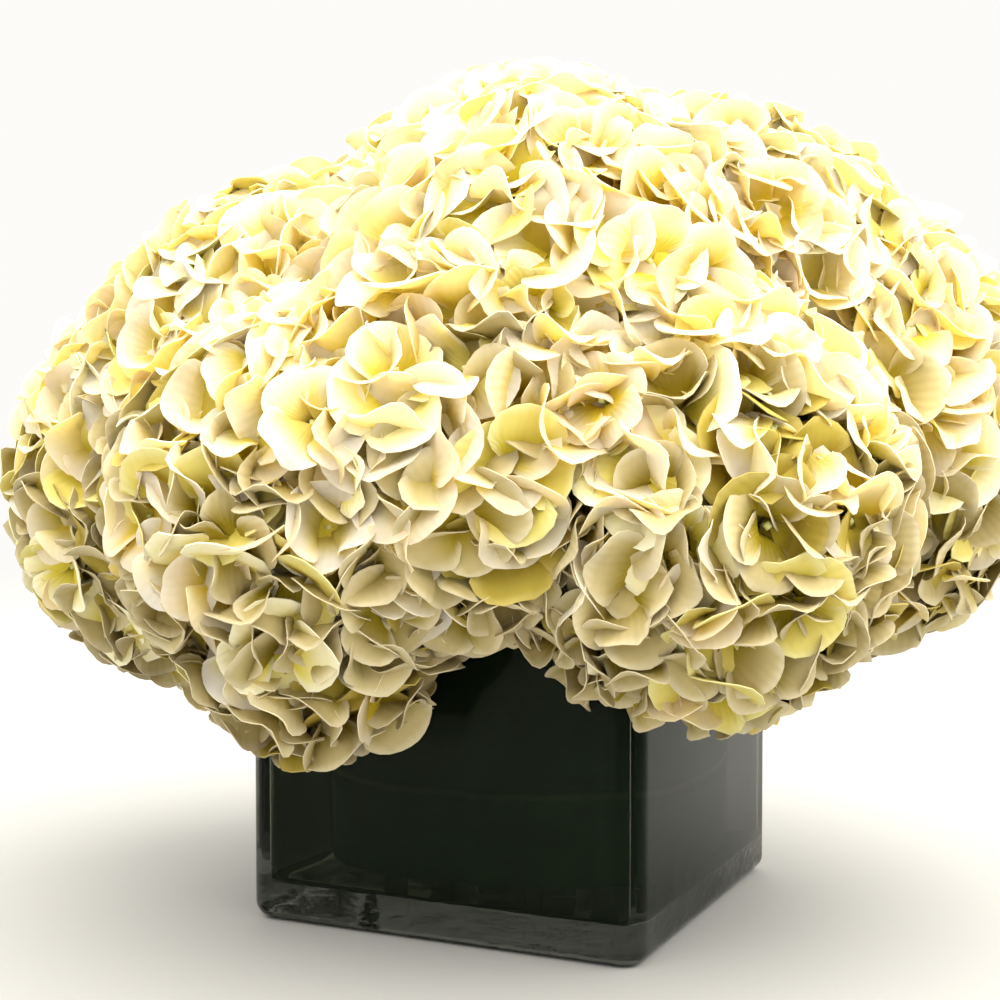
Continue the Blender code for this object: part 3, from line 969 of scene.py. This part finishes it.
def makeBead():
    # the unopened middle of a floret, four lobes round
    shape = bmesh.new()
    bmesh.ops.create_uvsphere(shape, u_segments=8, v_segments=4, radius=twig["bead"])
    for vert in shape.verts:
        turn = math.atan2(vert.co.y, vert.co.x)
        lobe = 1 - twig["beadLobes"] * (1 - math.cos(sepal["count"] * turn))
        height = vert.co.z * twig["beadFlat"] + twig["beadRise"]
        vert.co = Vector((vert.co.x * lobe, vert.co.y * lobe, height))
    mesh = bpy.data.meshes.new("bead")
    shape.to_mesh(mesh)
    shape.free()
    return Pattern(mesh)


def makeTwig(sides, bow, tipShare):
    # a limb of unit length and radius, slightly bowed, for stalks of any size
    shape = bmesh.new()
    points, radii = [], []
    for step in range(twig["steps"] + 1):
        share = step / twig["steps"]
        points.append(Vector((bow * math.sin(math.pi * share), 0, share * twig["slender"])))
        radii.append(1 + (tipShare - 1) * share)
    growLimb(shape, points, radii, sides)
    bmesh.ops.scale(shape, vec=(1, 1, 1 / twig["slender"]), verts=shape.verts)
    mesh = bpy.data.meshes.new("twig")
    shape.to_mesh(mesh)
    shape.free()
    return Pattern(mesh)


def twigPose(start, end, radius):
    along = end - start
    turn = along.to_track_quat("Z", "Y").to_matrix().to_4x4()
    return Matrix.Translation(start) @ turn @ Matrix.Diagonal((radius, radius, along.length, 1))


def growStalks(name, found, ray, pedicel):
    # the head's own stalk, its rays, and a thin stalk to each floret
    centre, radius, neck = headCentre(name), headRadius(name), neckPoint(name)
    fork = neck.lerp(centre, twig["fork"])
    axis = (centre - domeHeart).normalized()
    tips = [centre + way * radius * twig["rayReach"] for way in spreadDirections(twig["rays"])
            if way.angle(axis) < growth["facingLimit"]]
    stalks = [(ray, twigPose(neck, fork, twig["stalk"]), 0)]
    stalks += [(ray, twigPose(fork, tip, twig["ray"]), 0) for tip in tips]
    for floret in found:
        foot = floret["heart"] - floret["facing"] * twig["pedicelGap"]
        tip = min(tips, key=lambda tip: (tip - foot).length)
        stalks.append((pedicel, twigPose(tip, foot, twig["pedicel"]), 0))
    return stalks


# How the tints are dealt out: shares by head, in the order of the tints
deal = {
    # heads on the right get more ivory, so that side reads whiter: partly the florets' own colour, partly
    # painted light from the upper right
    "heads": {
        "top": (4, 4, 4, 1, 0.8),
        "left": (5, 5, 1.5, 2, 0.5),
        "upper_left": (6, 5, 1.5, 2, 0.4),
        "front_right": (6, 3, 0.3, 4, 0),
        "right": (9, 3, 0.3, 2, 0),
        "upper_right": (9, 3, 0.5, 1, 0),
    },
    "usual": (6, 4, 0.7, 3, 0.1),
    # the inner layer shows only in the gaps: its yellower, darker tints are partly the inner florets' own
    # greener colour, partly painted shade in the gaps
    "innerHigh": (0, 2, 4, 0, 4, 0, 0.5),
    "innerLow": (0, 0, 0.5, 0, 2, 1, 5),
    "lowShadeHeight": (90 * mm, 175 * mm),   # painted shade: florets below the higher of these heights get a darker tint, more the lower they are, most at the lower height
    "lowShadeMost": 0.85,
}


def tintWeights(name, floret):
    # the lower a floret, the more painted shade it is dealt
    low, high = deal["lowShadeHeight"]
    lowShadeShare = deal["lowShadeMost"] * min(1, max(0, (high - floret["heart"].z) / (high - low)))
    # inner florets: partly their own greener colour, partly painted shade in the gaps, darker lower down
    if floret["layer"]:
        return [bright * (1 - lowShadeShare) + dull * lowShadeShare
                for bright, dull in zip(deal["innerHigh"], deal["innerLow"])]
    shares = deal["heads"].get(name, deal["usual"])
    return [*shares, sum(shares) * lowShadeShare / (1 - lowShadeShare), 0]


def mottledFinish(name, scale, detail, colours, roughness):
    finish = Finish(name, Roughness=0.5)
    mottle = finish.blotches(scale, detail)
    finish.set(Base_Color=finish.ramp(mottle, list(zip((0.35, 0.65), colours))),
               Roughness=roughness + mottle * 0.2)
    return finish.material


def makeHeads():
    florets = {}
    for layer in layers:
        for kindNumber, kind in enumerate(openings):
            for variant in range(variantsEach):
                number = growth["seed"] + 100 * kindNumber + variant
                mesh = floretMesh(number, kind, layer["steps"])
                florets[kind, variant, layer["steps"]] = Pattern(mesh)
    petals = [petalFinish(name, *colours) for name, colours in tints.items()]
    green = mottledFinish("stalkGreen", 300, 2.0, twig["stalkColours"], 0.45)
    yellow = mottledFinish("beadYellow", 700, 1.0, twig["beadColours"], 0.4)
    bead = makeBead()
    pedicel = makeTwig(sides=4, bow=0.9, tipShare=0.9)
    ray = makeTwig(sides=7, bow=0.5, tipShare=0.75)
    beads, stalks = [], []
    total = 0
    for index, name in enumerate(heads):
        rng = random.Random(growth["seed"] * 7 + index)
        found = growHead(name, florets)
        total += len(found)
        copies = []
        for floret in found:
            tint = rng.choices(range(len(petals)), tintWeights(name, floret))[0]
            copies.append((floret["pattern"], floret["pose"], tint))
            if floret["layer"] == 0:
                beads.append((bead, floret["pose"], 0))
        mesh = joinCopies("petals_" + name, copies, sharp=60)
        makePiece("petals_" + name, mesh, petals, "petal_cream", "bloom_" + name)
        stalks += growStalks(name, found, ray, pedicel)
        print(name, len(found), "florets")
    makePiece("floretBeads", joinCopies("floretBeads", beads), [yellow], "petal_cream")
    makePiece("flowerStalks", joinCopies("flowerStalks", stalks), [green], "stem_green")
    print("heads made with", total, "florets")


def makeFloor():
    finish = Finish("paleFloor", Roughness=0.85)
    tone = finish.blotches(9, 2.0)
    pale = studio["floorColour"]
    darker = tuple(channel * 0.985 for channel in pale)
    away = finish.add("ShaderNodeVectorMath", {"operation": "LENGTH"}, {0: finish.place()}, output=1)
    finish.set(Base_Color=finish.mixed(tone, pale, darker),
               Alpha=1 - finish.range(away, *studio["floorFade"]))
    shape = bmesh.new()
    bmesh.ops.create_circle(shape, cap_ends=True, segments=96, radius=studio["floorRadius"])
    bmesh.ops.translate(shape, vec=(0, 0, -studio["floorDrop"]), verts=shape.verts)
    mesh = toMesh(shape, "floor")
    mesh.materials.append(finish.material)
    floor = bpy.data.objects.new("floor", mesh)
    bpy.context.scene.collection.objects.link(floor)


setUpStudio()
makeFloor()
makeVase()
makeWater()
makeLeaf()
makeStems()
makeHeads()
